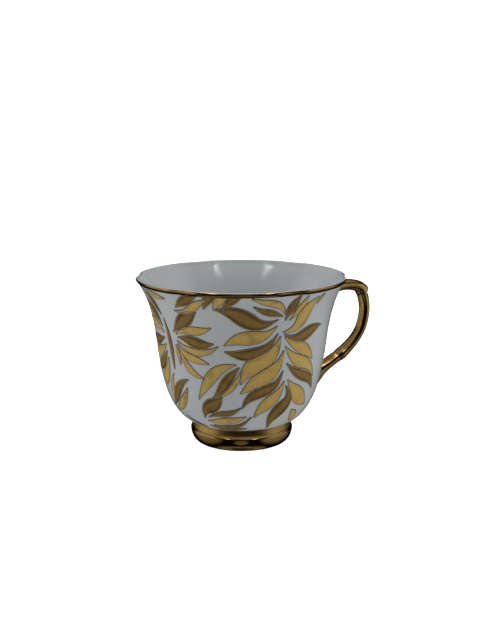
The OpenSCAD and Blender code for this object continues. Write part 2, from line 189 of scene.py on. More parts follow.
# %% Glazed bone china
bone_china, tree, shader = new_finish("glazed_bone_china")
spot = add_node(tree, "TexCoord").outputs["Object"]
cloud = add_node(tree, "TexNoise", {}, {"Vector": spot, "Scale": lumps(22), "Detail": 2})
white = add_node(tree, "ValToRGB", {}, {"Fac": cloud.outputs["Fac"]})
white.color_ramp.elements[0].position = 0.35
white.color_ramp.elements[0].color = hex_to_linear("#D3D8D9")
white.color_ramp.elements[1].position = 0.7
white.color_ramp.elements[1].color = hex_to_linear("#DADDDD")
# Iron specks: about one cell in thirty holds one, and a speck is about 0.3 mm across
cells = add_node(tree, "TexVoronoi", {}, {"Vector": spot, "Scale": lumps(3.2)})
near = add_node(tree, "Math", {"operation": "LESS_THAN"}, {0: cells.outputs["Distance"], 1: 0.05})
tint = add_node(tree, "SeparateColor", {}, {"Color": cells.outputs["Color"]})
rare = add_node(tree, "Math", {"operation": "GREATER_THAN"}, {0: tint.outputs["Red"], 1: 0.965})
speck = add_node(tree, "Math", {"operation": "MULTIPLY"}, {0: near.outputs[0], 1: rare.outputs[0]})
faint = add_node(tree, "Math", {"operation": "MULTIPLY"}, {0: speck.outputs[0], 1: 0.45})
paint = add_node(tree, "Mix", {"data_type": "RGBA"},
                 {"Factor": faint.outputs[0], 6: white.outputs["Color"], 7: hex_to_linear("#6B5A48")})
tree.links.new(paint.outputs[2], shader.inputs["Base Color"])
# Glaze waves a few millimetres long, and a finer ripple that softens the edge of a highlight
waves = add_node(tree, "TexNoise", {}, {"Vector": spot, "Scale": lumps(9), "Detail": 1})
ripple = add_node(tree, "TexNoise", {}, {"Vector": spot, "Scale": lumps(1.6), "Detail": 2})
soft_bump = add_node(tree, "Bump", {},
                     {"Strength": 0.25, "Distance": 0.00025, "Height": waves.outputs["Fac"]})
fine_bump = add_node(tree, "Bump", {},
                     {"Strength": 0.12, "Distance": 0.00004, "Height": ripple.outputs["Fac"],
                      "Normal": soft_bump.outputs["Normal"]})
tree.links.new(fine_bump.outputs["Normal"], shader.inputs["Normal"])
gloss = add_node(tree, "MapRange", {}, {"Value": cloud.outputs["Fac"], "To Min": 0.05, "To Max": 0.1})
tree.links.new(gloss.outputs["Result"], shader.inputs["Roughness"])
shader.inputs["IOR"].default_value = 1.52
print("material", bone_china.name)

# %% [markdown]
# ## Unglazed china
# The ring that stands on the table is wiped clean before firing, or it would stick to the kiln shelf. Bare
# bone china is matt and slightly warm, with a fine grain. The slip that joins the pieces is the same
# clay, wetter and a little greyer, so it gets the same grain with another white.

# %% Unglazed china and slip
def bare_clay(name, light, dark):
    """A matt fired clay with a grain about a third of a millimetre across."""
    finish, tree, shader = new_finish(name)
    spot = add_node(tree, "TexCoord").outputs["Object"]
    grain = add_node(tree, "TexNoise", {}, {"Vector": spot, "Scale": lumps(0.35), "Detail": 3})
    tone = add_node(tree, "Mix", {"data_type": "RGBA"},
                    {"Factor": grain.outputs["Fac"], 6: hex_to_linear(light), 7: hex_to_linear(dark)})
    tree.links.new(tone.outputs[2], shader.inputs["Base Color"])
    bump = add_node(tree, "Bump", {}, {"Strength": 0.4, "Distance": 0.00006, "Height": grain.outputs["Fac"]})
    tree.links.new(bump.outputs["Normal"], shader.inputs["Normal"])
    matt = add_node(tree, "MapRange", {}, {"Value": grain.outputs["Fac"], "To Min": 0.62, "To Max": 0.8})
    tree.links.new(matt.outputs["Result"], shader.inputs["Roughness"])
    return finish


unglazed_china = bare_clay("unglazed_china", "#DEDAD0", "#B8B2A6")
joining_slip = bare_clay("joining_slip", "#D2D0CA", "#A9A7A0")
print("materials", unglazed_china.name, joining_slip.name)

# %% [markdown]
# ## Burnished gold
# The lip, the foot and the handle are brushed with gold and rubbed bright after firing. It is a metal, so
# its colour is the colour of its reflections, and its IOR stays at the default. Rubbing leaves it a
# little hazy in places and draws hair-fine marks round the cup, which stretch each highlight. The cloth
# hardly reaches the hollow above the foot's ridge, so the gold there is a copy with a duller gloss.

# %% Burnished gold
burnished_gold, tree, shader = new_finish("burnished_gold")
spot = add_node(tree, "TexCoord").outputs["Object"]
haze = add_node(tree, "TexNoise", {}, {"Vector": spot, "Scale": lumps(7), "Detail": 3})
gold = add_node(tree, "ValToRGB", {}, {"Fac": haze.outputs["Fac"]})
gold.color_ramp.elements[0].position = 0.3
gold.color_ramp.elements[0].color = hex_to_linear("#CDA45C")
gold.color_ramp.elements[1].position = 0.72
gold.color_ramp.elements[1].color = hex_to_linear("#E0BB74")
tree.links.new(gold.outputs["Color"], shader.inputs["Base Color"])
# Rubbing marks run round the cup: the noise is squeezed in height, so each mark is long and level
level = add_node(tree, "Mapping", {}, {"Vector": spot, "Scale": (0.25, 0.25, 2.5)})
marks = add_node(tree, "TexNoise", {}, {"Vector": level.outputs["Vector"], "Scale": lumps(1.1), "Detail": 3})
shine = add_node(tree, "MapRange", {}, {"Value": marks.outputs["Fac"], "To Min": 0.07, "To Max": 0.16})
tree.links.new(shine.outputs["Result"], shader.inputs["Roughness"])
rub = add_node(tree, "Bump", {}, {"Strength": 0.22, "Distance": 0.00004, "Height": marks.outputs["Fac"]})
brush = add_node(tree, "TexNoise", {}, {"Vector": spot, "Scale": lumps(4.5), "Detail": 1})
brushed = add_node(tree, "Bump", {}, {"Strength": 0.3, "Distance": 0.00018, "Height": brush.outputs["Fac"],
                                      "Normal": rub.outputs["Normal"]})
tree.links.new(brushed.outputs["Normal"], shader.inputs["Normal"])
shader.inputs["Metallic"].default_value = 1
hollow_gold = burnished_gold.copy()
hollow_gold.name = "gold_in_the_hollow"
for node in hollow_gold.node_tree.nodes:
    if node.type == "MAP_RANGE":
        node.inputs["To Min"].default_value = 0.3
        node.inputs["To Max"].default_value = 0.42
print("materials", burnished_gold.name, hollow_gold.name)

# %% [markdown]
# ## Printed leaf gold
# The leaves are printed with liquid gold in two strengths. The bright one fires to a flat, satin gold with
# fine dark specks. The dark one is thinner over a brown colour: its edges are dark, its middle is
# lighter, and a hairline of bright gold runs round it. Neither is rubbed, so they look more like a satin
# ink than a metal, and less than a fifth of the shader is metallic. The mesh carries how far each point
# is from the leaf's edge, and both golds read that for their shading.

# %% Bright and dark leaf gold
metal_share = 0.18


def leaf_gold(name, edge, low, high, roughness, speck_tone, specks):
    """A satin printed gold that shades from its edge to its middle, with fine dark specks."""
    finish, tree, shader = new_finish(name)
    spot = add_node(tree, "TexCoord").outputs["Object"]
    depth = add_node(tree, "Attribute", {"attribute_name": "from_edge"})
    cloud = add_node(tree, "TexNoise", {}, {"Vector": spot, "Scale": lumps(1.5), "Detail": 5})
    mixed = add_node(tree, "Mix", {"data_type": "RGBA"},
                     {"Factor": cloud.outputs["Fac"], 6: hex_to_linear(low), 7: hex_to_linear(high)})
    fade = add_node(tree, "MapRange", {"interpolation_type": "SMOOTHSTEP"},
                    {"Value": depth.outputs["Fac"], "From Min": 0.0, "From Max": 0.75})
    shaded = add_node(tree, "Mix", {"data_type": "RGBA"},
                      {"Factor": fade.outputs["Result"], 6: hex_to_linear(edge), 7: mixed.outputs[2]})
    # Specks a fifth of a millimetre across, thicker in some places than in others
    grain = add_node(tree, "TexNoise", {}, {"Vector": spot, "Scale": lumps(0.42), "Detail": 2})
    patch = add_node(tree, "TexNoise", {}, {"Vector": spot, "Scale": lumps(6), "Detail": 1})
    total = add_node(tree, "Math", {"operation": "ADD"}, {0: grain.outputs["Fac"], 1: patch.outputs["Fac"]})
    speck = add_node(tree, "MapRange", {}, {"Value": total.outputs[0], "From Min": 1.1, "From Max": 1.34,
                                            "To Max": specks})
    tone = add_node(tree, "Mix", {"data_type": "RGBA"},
                    {"Factor": speck.outputs["Result"], 6: shaded.outputs[2], 7: hex_to_linear(speck_tone)})
    tree.links.new(tone.outputs[2], shader.inputs["Base Color"])
    rough = add_node(tree, "MapRange", {}, {"Value": grain.outputs["Fac"], "To Min": roughness - 0.08,
                                            "To Max": roughness + 0.1})
    tree.links.new(rough.outputs["Result"], shader.inputs["Roughness"])
    bump = add_node(tree, "Bump", {}, {"Strength": 0.3, "Distance": 0.00003, "Height": grain.outputs["Fac"]})
    tree.links.new(bump.outputs["Normal"], shader.inputs["Normal"])
    shader.inputs["Metallic"].default_value = metal_share
    return finish


bright_leaf_gold = leaf_gold("bright_leaf_gold", "#E2B85E", "#DDB158", "#FADA86", 0.42, "#5E4A26", 0.75)
dark_leaf_gold = leaf_gold("dark_leaf_gold", "#6A4D1C", "#8A6729", "#B9944A", 0.46, "#4C3918", 0.6)
print("materials", bright_leaf_gold.name, dark_leaf_gold.name)

# %% [markdown]
# A slate blue line is printed first and the gold is laid inside it. Printed enamel is glossy like the
# glaze and breaks up a little where the line runs thin, so its colour wanders between two blues.

# %% Slate outline
slate_enamel, tree, shader = new_finish("slate_enamel")
spot = add_node(tree, "TexCoord").outputs["Object"]
breaks = add_node(tree, "TexNoise", {}, {"Vector": spot, "Scale": lumps(0.9), "Detail": 2})
blue = add_node(tree, "Mix", {"data_type": "RGBA"},
                {"Factor": breaks.outputs["Fac"], 6: hex_to_linear("#48515C"), 7: hex_to_linear("#78828D")})
tree.links.new(blue.outputs[2], shader.inputs["Base Color"])
shader.inputs["Roughness"].default_value = 0.25
print("material", slate_enamel.name)

# %% [markdown]
# ## The wall of the bowl
# The bowl is a bell: it swells quickly above the foot, stands nearly straight at the waist and flares at
# the lip. Two power curves give that, one for the belly and one for the flare. Six pleats press the lip in
# by a millimetre and fade out down the wall. Everything printed or joined to the wall asks this same
# function where the wall is, so that nothing floats or sinks.

# %% Wall curves
foot_top_r = 20.4
waist_r = 36
wall, lip_wall = 2.4, 1.5
belly_fullness, belly_turn, flare_power = 3.8, 1.7, 5
pleat_pitch, pleat_depth, pleat_half_deg, pleat_h = 60, 1.0, 11, 13
pleat_point, pleat_curve = 0.45, 1.3
slip_t = 0.3
bowl_z = foot_h + slip_t
edge_z = cup_h - lip_wall / 2


def wall_profile(t):
    """Radius of the wall at a share t of its height, without the pleats."""
    belly = (1 - (1 - t) ** belly_fullness) ** (1 / belly_turn)
    return foot_top_r + (waist_r - foot_top_r) * belly + (rim_r - waist_r) * t ** flare_power


def share(z):
    """The share of the wall's height at a height z."""
    return np.clip((z - bowl_z) / (edge_z - bowl_z), 0, 1)


def pleat(z, deg):
    """How far a pleat presses the wall in, at a height and an angle."""
    off = np.abs(deg % pleat_pitch - pleat_pitch / 2)
    fall = np.clip(1 - (cup_h - z) / pleat_h, 0, 1)
    half = pleat_half_deg * (pleat_point + (1 - pleat_point) * fall)
    return pleat_depth * fall ** pleat_curve * (1 - np.minimum(1, off / half) ** 2) ** 2


def wall_r(z, deg=0.0):
    """Radius of the finished wall."""
    return wall_profile(share(z)) - pleat(z, deg)


def on_wall(deg, z, out):
    """A point on the wall, moved out along the wall's own slope."""
    step = 0.05
    lean = (wall_r(z + step, deg) - wall_r(z - step, deg)) / (2 * step)
    length = np.sqrt(1 + lean * lean)
    r = wall_r(z, deg) + out / length
    turn_by = np.radians(deg)
    return np.stack([r * np.cos(turn_by), r * np.sin(turn_by), z - out * lean / length], -1)


print(f"waist radius at half height {float(wall_r(bowl_z + (edge_z - bowl_z) / 2)):.2f} mm")

# %% [markdown]
# ## Bowl
# A cup like this is cast in a mould, so its wall is thin, even and smooth on both sides. The section is
# traced once, up the outside, over the rounded lip and down the inside, and turned in small steps. The
# inside is the outside moved in by the wall's thickness, which thins towards the lip.

# %% Bowl
around = 288
outer_steps, inner_steps = 60, 55
crowding = 1.7
floor_share = 0.004
angles = np.arange(around) * 360 / around
outer_t = (np.arange(outer_steps + 1) / outer_steps) ** crowding
outer_line = np.stack([wall_profile(outer_t), bowl_z + outer_t * (edge_z - bowl_z)], 1)
lip_angles = np.radians(np.arange(1, 12) * 15)
lip_line = np.stack([rim_r - lip_wall / 2 + lip_wall / 2 * np.cos(lip_angles),
                     edge_z + lip_wall / 2 * np.sin(lip_angles)], 1)
inner_t = floor_share + (1 - floor_share) * (np.arange(inner_steps + 1) / inner_steps) ** crowding
nudge = 0.002
above = np.minimum(1, inner_t + nudge)
below = np.maximum(0, inner_t - nudge)
slope = np.stack([wall_profile(above) - wall_profile(below), (above - below) * (edge_z - bowl_z)], 1)
inward = np.stack([-slope[:, 1], slope[:, 0]], 1) / np.linalg.norm(slope, axis=1, keepdims=True)
level_share = (inner_t ** 6)[:, None]
inward = inward * (1 - level_share) + np.array([-1, 0]) * level_share
inward /= np.linalg.norm(inward, axis=1, keepdims=True)
thickness = (wall + (lip_wall - wall) * inner_t)[:, None]
inner_line = np.stack([wall_profile(inner_t), bowl_z + inner_t * (edge_z - bowl_z)], 1) + inward * thickness
floor_r, floor_z = inner_line[0]
well = [[floor_r * s, floor_z - 0.35 * (1 - s * s)] for s in (0.97, 0.9, 0.8, 0.6, 0.35, 0.1)]
base_r, base_drop = 14.85, 2.2
base_z = bowl_z - base_drop
base = [[s * base_r, base_z + 0.25 * (1 - s)] for s in (0.1, 0.5, 0.8, 0.93)]
base += [[base_r - 0.15, base_z + 0.1], [base_r, base_z + 0.4], [base_r, bowl_z]]
bowl_line = np.concatenate([base, outer_line, lip_line, inner_line[::-1], well])


def turned(line, pleated=False):
    """Points of a line in the r-z plane, each turned once round the cup's axis."""
    c, s = np.cos(np.radians(angles)), np.sin(np.radians(angles))
    rings = []
    for r, z in line:
        radius = r - pleat(z, angles) if pleated else r
        rings.append(np.stack([radius * c, radius * s, np.full(around, z)], 1))
    return np.concatenate(rings)


bowl_faces = skin(len(bowl_line), around)
bowl_faces.append(tuple(reversed(range(around))))
bowl_faces.append(tuple((len(bowl_line) - 1) * around + j for j in range(around)))
make_piece("glazed_bowl", turned(bowl_line, pleated=True), bowl_faces, [bone_china], ["bowl"])
print("bowl:", len(bowl_faces), "faces, wall", wall, "to", lip_wall, "mm")

# %% [markdown]
# ## Foot ring
# The foot is turned on its own: a rounded ridge below, a shallow cove above and a plain bore inside. Its
# section is a quarter oval and a quarter of a hollow oval, with a small round between them, as a sponge
# leaves it. The flat ring that stands on the table is bare clay, so the faces there are unglazed.

# %% Foot ring
contact_r, contact_bore_r, bore_r = 17.5, 16, 15
ridge_h, chamfer_h = 6.2, 1.5
quarter = np.radians(np.linspace(0, 90, 25))
bulge = np.stack([contact_r + (ridge_r - contact_r) * np.sin(quarter), ridge_h * (1 - np.cos(quarter))], 1)
cove = np.stack([foot_top_r + (ridge_r - foot_top_r) * (1 - np.sin(quarter)),
                 ridge_h + (foot_h - ridge_h) * (1 - np.cos(quarter))], 1)[1:]
ridge_round = 0.9
shoulder = [[ridge_r - ridge_round * (1 - math.cos(a)), ridge_h - 0.35 + ridge_round * math.sin(a)]
            for a in np.radians(np.arange(-20, 71, 10))]
foot_outside = np.concatenate([bulge[bulge[:, 1] < shoulder[0][1] - 0.1], shoulder,
                               cove[cove[:, 0] < shoulder[-1][0] - 0.3]])
foot_inside = np.array([[bore_r, foot_h], [bore_r, chamfer_h + 0.3], [bore_r + 0.1, chamfer_h],
                        [contact_bore_r - 0.1, 0.12], [contact_bore_r, 0]])
foot_line = np.concatenate([foot_outside, foot_inside])
foot_faces = skin(len(foot_line), around, loop=True)
bare = [1 if i // around >= len(foot_line) - 2 else 0 for i in range(len(foot_faces))]
make_piece("turned_foot_ring", turned(foot_line), foot_faces, [bone_china, unglazed_china],
           ["foot_ring"], bare)
print("foot ring:", len(foot_faces), "faces,", sum(bare), "of them bare clay")

# %% [markdown]
# ## Gilding on the foot
# The gold is brushed on while the cup turns on a wheel, so it is a very thin skin with level edges. It is
# made as a second skin over the foot's outside, 0.15 mm proud, and it closes the joint below the bowl,
# where the brush runs up to the white.

# %% Foot gilding
gilt_t, gilt_clearance = 0.12, 0.03
foot_bare = 0.5
gilt_line = foot_outside[foot_outside[:, 1] > foot_bare]
foot_gilt_out = gilt_line + [gilt_t + gilt_clearance, 0]
foot_gilt = np.concatenate([[gilt_line[0]], foot_gilt_out,
                            [[foot_top_r + 0.2, bowl_z + 0.05], [foot_top_r + 0.75, bowl_z + 0.28],
                             [foot_top_r + 0.7, bowl_z + 0.34]]])
gilt_faces = skin(len(foot_gilt), around)
in_hollow = [1 if foot_gilt[i // around][1] > ridge_h + 0.5 else 0 for i in range(len(gilt_faces))]
make_piece("foot_gold", turned(foot_gilt), gilt_faces, [burnished_gold, hollow_gold],
           ["foot_gilding"], in_hollow)
print("foot gold:", len(foot_gilt), "rings")

# %% [markdown]
# ## Gilt line on the lip
# A fine gold line is drawn round the lip with a loaded brush held still while the cup turns. It covers the
# first millimetre and a half below the rounded edge and laps a little way over it, and it follows the
# pleats. The gold stands a hair proud in the middle of the line, where the brush leaves most of it.

# %% Lip gilding
line_h = 1.4
stand_off, crown_h = 0.07, 0.18
lip_arc = np.radians(np.linspace(0, 38, 8))
line_rows = 10
line_heights = np.linspace(edge_z - line_h, edge_z, line_rows)
gilt_path = [[wall_profile(share(z)), z] for z in line_heights[:-1]]
gilt_path = np.array(gilt_path + [[rim_r - lip_wall / 2 + lip_wall / 2 * math.cos(a),
                                   edge_z + lip_wall / 2 * math.sin(a)] for a in lip_arc])
gilt_out = np.array([[1, 0]] * (line_rows - 1) + [[math.cos(a), math.sin(a)] for a in lip_arc])
crown = np.zeros(len(gilt_path))
crown[:line_rows] = crown_h * np.sin(np.pi * np.linspace(0, 1, line_rows)).clip(0) ** 0.8
line_out = gilt_path + gilt_out * (stand_off + crown)[:, None]
line_section = np.concatenate([[gilt_path[0]], line_out, [gilt_path[-1]]])
make_piece("lip_gold", turned(line_section, pleated=True), skin(len(line_section), around),
           [burnished_gold], ["rim_gilding"])
print("lip gold:", line_h, "mm high")

# %% [markdown]
# ## Handle
# The handle is cast apart and joined with slip. It leaves the wall just under the lip, runs out level to a
# small thumb spur, falls in a long curve, thickens to a knuckle and comes back to the wall. Its middle
# line is a smooth curve through a list of stations, and each station also gives the handle's thickness
# and width. Fine relief is then added to the rings: the spur's overhang and the notch under it, two
# shallow grooves down each side of the limb, and the collar at the knuckle.

# %% Handle stations
handle_slip_t = 0.5
limb_t = 4.4
handle_drop, handle_low, upper_drop = 7.9, 12, 2.9
top_z = cup_h - handle_drop
low_end_z = foot_h + handle_low
upper_end_z = top_z - upper_drop
upper_end, lower_end = [9.2, 8.0], [14.0, 6.8]
# Share of the way out from the wall, share of the way up, thickness, width
stations = [
    [0.14, 0.955, 6.4, 6.8], [0.29, 0.98, 5.3, 6.0], [0.48, 0.99, 4.8, 5.4], [0.68, 0.982, 4.7, 5.4],
    [0.85, 0.955, 5.0, 5.6], [0.93, 0.905, 5.4, 5.6], [0.96, 0.85, 4.6, 5.3], [1.0, 0.73, 4.4, 5.3],
    [0.98, 0.61, 4.4, 5.3], [0.92, 0.495, 4.4, 5.3], [0.8, 0.385, 4.5, 5.4], [0.66, 0.3, 4.9, 5.6],
    [0.55, 0.245, 5.2, 5.7], [0.44, 0.205, 4.9, 5.4], [0.33, 0.16, 5.0, 5.4], [0.22, 0.11, 6.2, 5.6],
    [0.12, 0.05, 8.8, 6.0]]
middle = [[float(wall_r(upper_end_z)) + handle_slip_t, upper_end_z]]
for out_share, up_share, _, _ in stations:
    z = low_end_z + up_share * (top_z - low_end_z)
    r = float(wall_r(z))
    middle.append([r + out_share * (handle_reach - limb_t / 2 - r), z])
middle.append([float(wall_r(low_end_z)) + handle_slip_t, low_end_z])
middle = np.array(middle)
sizes = np.array([upper_end] + [s[2:] for s in stations] + [lower_end])
last_station = len(stations)


def along(points, v):
    """A smooth curve through points, at a place v counted in points."""
    i = min(int(v), len(points) - 2)
    u = v - i
    a, b, c, d = (points[max(0, min(len(points) - 1, i + n))] for n in (-1, 0, 1, 2))
    return 0.5 * (2 * b + (c - a) * u + (2 * a - 5 * b + 4 * c - d) * u * u
                  + (3 * b - a - 3 * c + d) * u ** 3)


print("handle: stations", last_station, "reach", round(handle_reach, 1), "mm")

# %% [markdown]
# A ring of the handle is an oval square to the middle line. The relief moves its points in or out: `swell`
# is a soft bump at one place along the handle. The two ends are different, because they must lie on the
# wall: the oval is laid on the wall itself and spreads in a small fillet, as wet slip is smoothed with a
# sponge.

# %% Handle rings
corners = 64
groove_deg = 15
ring_deg = np.arange(corners) * 360 / corners
ring_rad = np.radians(ring_deg)


def swell(v, place, width):
    """A soft bump of height one at a place along the handle."""
    return math.exp(-((v - place) / width) ** 2)


def groove_pair(side_deg):
    """Two soft grooves along the limb, the same way round from its outer line on either side."""
    return sum(np.exp(-((np.abs((ring_deg - a + 180) % 360 - 180)) / groove_deg) ** 2)
               for a in (side_deg, -side_deg))


def relief(v):
    """How far each point of a ring stands in or out at a place along the handle."""
    outer = np.clip(np.cos(ring_rad), 0, 1) ** 1.5
    spur = 0.6 * swell(v, 5.9, 0.42) - 0.6 * swell(v, 6.5, 0.28) + 0.12 * swell(v, 7.1, 0.4)
    collar = 0.08 * swell(v, 12.85, 0.5) - 0.16 * swell(v, 13.5, 0.35)
    limb = 1 / (1 + math.exp(-(v - 6.6) * 6)) / (1 + math.exp((v - 12.6) * 5))
    return outer * spur + collar - limb * (0.1 * groove_pair(52) + 0.05 * groove_pair(128))


def limb_ring(v, grow):
    """An oval ring square to the handle's middle line."""
    c = along(middle, v)
    thick, wide = along(sizes, v)
    d = along(middle, v + 0.04) - along(middle, v - 0.04)
    n = np.array([-d[1], d[0]]) / np.linalg.norm(d)
    out = relief(v) + grow
    across = (thick / 2 + out) * np.cos(ring_rad)
    return np.stack([c[0] + n[0] * across, (wide / 2 + out) * np.sin(ring_rad), c[1] + n[1] * across], 1)


def wall_ring(z, size, up_sign, grow, out):
    """An oval laid on the wall round one end of the handle."""
    y = (size[1] / 2 + grow) * np.sin(ring_rad)
    h = z + up_sign * (size[0] / 2 + grow) * np.cos(ring_rad)
    r = wall_r(h) + out
    return np.stack([np.sqrt(r * r - y * y), y, h], 1)


fillet_share, fillet_r = 0.42, 1.25


def end_rings(z, size, up_sign, first_v, grow):
    """Rings from the wall to the first station, with a fillet where they leave the wall."""
    limb = limb_ring(first_v, grow)
    foot = wall_ring(z, size, up_sign, grow, 0.0)
    rings = []
    for h in (0.0, 0.03, 0.07, 0.12, 0.18, 0.25, 0.33, 0.42, 0.55, 0.7, 0.85):
        k = max(0.0, 1 - h / fillet_share)
        spread = fillet_r * (1 - math.sqrt(1 - k * k))
        rings.append(wall_ring(z, size, up_sign, grow + spread, 0.02) + (limb - foot) * h)
    return rings


def handle_rings(grow, steps):
    """All the rings of the handle, from the upper end on the wall to the lower."""
    places = np.linspace(1, last_station, (last_station - 1) * steps + 1)
    rings = end_rings(upper_end_z, upper_end, 1, 1, grow)
    rings += [limb_ring(v, grow) for v in places]
    return rings + end_rings(low_end_z, lower_end, -1, last_station, grow)[::-1]


rings = handle_rings(0.0, 6)
faces = skin(len(rings), corners)
faces.append(tuple(range(corners)))
faces.append(tuple(reversed(range((len(rings) - 1) * corners, len(rings) * corners))))
make_piece("cast_handle", np.concatenate(rings), faces, [bone_china], ["handle"])
rings = handle_rings(gilt_t, 10)
make_piece("handle_gold", np.concatenate(rings), skin(len(rings), corners), [burnished_gold],
           ["handle_gilding"])
print("handle:", len(rings), "rings of", corners, "points")

# %% [markdown]
# The slip that holds each end shows as a hair of white where the gold stops short of the wall. It is a
# flat, soft-edged collar on the wall, a little wider than the gilded fillet.

# %% Slip collars
def slip_collar(name, node, z, size, up_sign):
    """A low ring of slip on the wall round one end of the handle."""
    profile = [(-0.6, 0.0), (-0.4, 0.09), (1.2, 0.1), (1.42, 0.08), (1.55, 0.0)]
    rings = [wall_ring(z, size, up_sign, grow, out) for grow, out in profile]
    make_piece(name, np.concatenate(rings), skin(len(rings), corners), [bone_china], [node])


slip_collar("upper_slip_collar", "upper_handle_slip", upper_end_z, upper_end, 1)
slip_collar("lower_slip_collar", "lower_handle_slip", low_end_z, lower_end, -1)
foot_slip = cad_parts["foot_slip"]
foot_slip.data.materials.clear()
foot_slip.data.materials.append(joining_slip)
print("slip: two collars, and the CAD ring under the bowl")

# %% [markdown]
# ## Leaf sprays
# The decoration is a print: sprays of long leaves that bend like an S, thrown across the bowl. Each leaf
# is one row of numbers: where it starts and ends, how wide it is, how much it bows to one side and how
# much it sways. Angles are measured from the middle of the decorated face, and heights from the table.
# The CAD nodes are made from the same rows, so the prints fall in the same places. Only three leaves
# differ: the first bright one and the first two dark ones under the lip are longer and wider here.

# %% Leaf rows
front_deg = -118
# Millimetres of print for each degree round the waist
print_k = waist_r * math.pi / 180
print_low, print_high = 9.8, 69.85
# Root angle, root height, tip angle, tip height, width, bow, sway
sprays = {
    "branch_bright": [
        [22, 57.3, -10, 49.6, 4.3, 0.7, 1.1], [25, 52.8, 0, 33.4, 5.8, 0.5, 1.6],
        [28, 46.6, 0, 29.4, 5, 2.3, 0.9], [30, 33.5, 10, 18.3, 4.2, 1, 0.7],
        [26.5, 54.6, 47, 68, 4.2, -2.1, -1.2], [28, 52.3, 54, 41, 3.6, 0.5, -0.4],
        [29, 48.3, 58, 33, 4.2, -0.2, -0.9], [33, 33.8, 57, 20.5, 5, -0.9, 0],
        [42, 19.5, 50, 13.5, 3.2, 0.4, 0]],
    "branch_dark": [
        [22, 60, -14, 64.6, 5.2, 2, 1.5], [23, 54, -10, 47, 4, 4.6, 0.3],
        [28.5, 38, 1, 22.8, 3.6, 0.6, 1.6], [32, 31.5, 25, 12, 5.2, 1.6, 2.2],
        [27.5, 53.6, 59, 54.8, 4.2, -2, -1], [31, 41, 60, 27.3, 3.8, 0.8, -1]],
    "fan_bright": [
        [-44, 52.4, -18, 56.6, 2.6, 0.2, 0.6], [-44, 49.4, -14, 49, 1.9, -3.4, 0.2],
        [-44, 48, -21, 41.4, 2.3, -1.7, -0.4], [-43, 46, -25, 35, 2, -2.2, 0.2],
        [-46, 47.6, -43.5, 39.6, 1.2, 0.3, 0], [-41, 62.6, -18, 68.8, 2.3, -1.5, -0.6]],
    "fan_dark": [
        [-46, 53.2, -26, 63, 4.4, 0.4, 0], [-43, 51, -17, 50, 3.6, -0.6, 0.5],
        [-39, 64.2, -24, 69.5, 3, 0.6, 0]],
    "pair_bright": [
        [-31, 25.6, -3, 41.6, 3.6, 2.8, -0.6], [-16, 26.8, 1, 39.6, 1.3, -1.7, 0]],
    "pair_dark": [
        [-20, 26.4, -1, 40.4, 3.2, -0.1, -0.3]],
    "sprig_bright": [
        [-28, 15.6, 4, 18.6, 2.3, -0.9, 0.2]],
    "sprig_dark": [
        [-30, 17, -13, 27.4, 4.8, 0.9, 0.7], [-26, 17.6, 0, 22.8, 1.9, -0.5, 0.5],
        [-24, 13.6, 8, 18.4, 1.5, -3, 0.4], [-28, 13.2, 5, 12.2, 1.1, -1.4, -0.3]],
    "lip_bright": [
        [-15, 64.6, -6, 73, 2.7, 0.2, 0], [6, 69.4, 26, 62.4, 2, 1.5, -0.6],
        [30, 59.4, 38.5, 69.2, 1.8, -0.8, 0], [48, 65.1, 51, 69, 0.9, 0, 0]],
    "lip_dark": [
        [-20.5, 64.8, -12.5, 73, 2.5, 0.4, 0], [-10, 65, 1.5, 73, 2.5, 0, 0],
        [7, 66, 24.5, 61.4, 1.9, -0.4, -0.2], [27, 59.6, 33.5, 69.6, 2.5, 0.2, 0]],
    "side_bright": [
        [-57, 51.6, -80, 56, 3, -0.8, 0], [-57, 46.6, -82, 41, 3.6, 1.6, 0],
        [-56, 41, -74, 27, 3.4, 2, 0], [-52.5, 34.5, -60, 20.5, 1.6, -0.8, 0]],
    "side_dark": [
        [-58, 54.4, -75, 64, 3.4, -0.8, 0], [-58, 49.4, -82.6, 47.4, 3.4, 1.1, 0],
        [-57, 43.8, -80, 34, 3.4, 1.8, 0], [-54.5, 58, -50.5, 37, 1.5, 0.6, 0]],
    "low_bright": [
        [-63, 17.2, -40, 29.6, 2.6, -2, 0], [-46, 67.2, -62, 69.1, 1.8, 0.4, 0]],
    "low_dark": [
        [-64, 19.4, -38, 33.4, 3, 0.6, -0.7], [-52, 15.4, -34, 11.8, 1, -0.8, 0],
        [-56, 59.4, -66, 69, 2.6, 0, 0]]}
print("leaf rows:", sum(len(rows) for rows in sprays.values()))

# %% [markdown]
# A leaf is a strip of points across its middle line. Across the strip the columns are: the slate line on
# one side, a hairline margin, the gold field in several steps, and the margin and line on the other side.
# The slate line is broader on the leaf's upper side than on its lower side. A leaf is fullest a little
# past its middle and ends in fine points, and the columns carry on a little past both, so that the line
# closes round them. Where a leaf meets the gilt line on the lip, it's cut off level just below it.

# %% Leaf meshes
point_w, sharpness, spread = 0.08, 1.12, 1.24
wide_line, fine_line, margin = 0.36, 0.2, 0.17
field = np.array([-1, -0.8, -0.5, -0.2, 0.2, 0.5, 0.8, 1])
SLATE, GOLD, HAIRLINE = 0, 1, 2
print_top = edge_z - line_h - 0.05


def leaf_middle(leaf, t):
    """Points of a leaf's middle line, in millimetres across the print."""
    root, tip = np.array([leaf[0] * print_k, leaf[1]]), np.array([leaf[2] * print_k, leaf[3]])
    d = (tip - root) / np.linalg.norm(tip - root)
    side = leaf[5] * 4 * t * (1 - t) + leaf[6] * np.sin(2 * math.pi * t)
    return root + (tip - root) * t[:, None] + np.array([-d[1], d[0]]) * side[:, None]


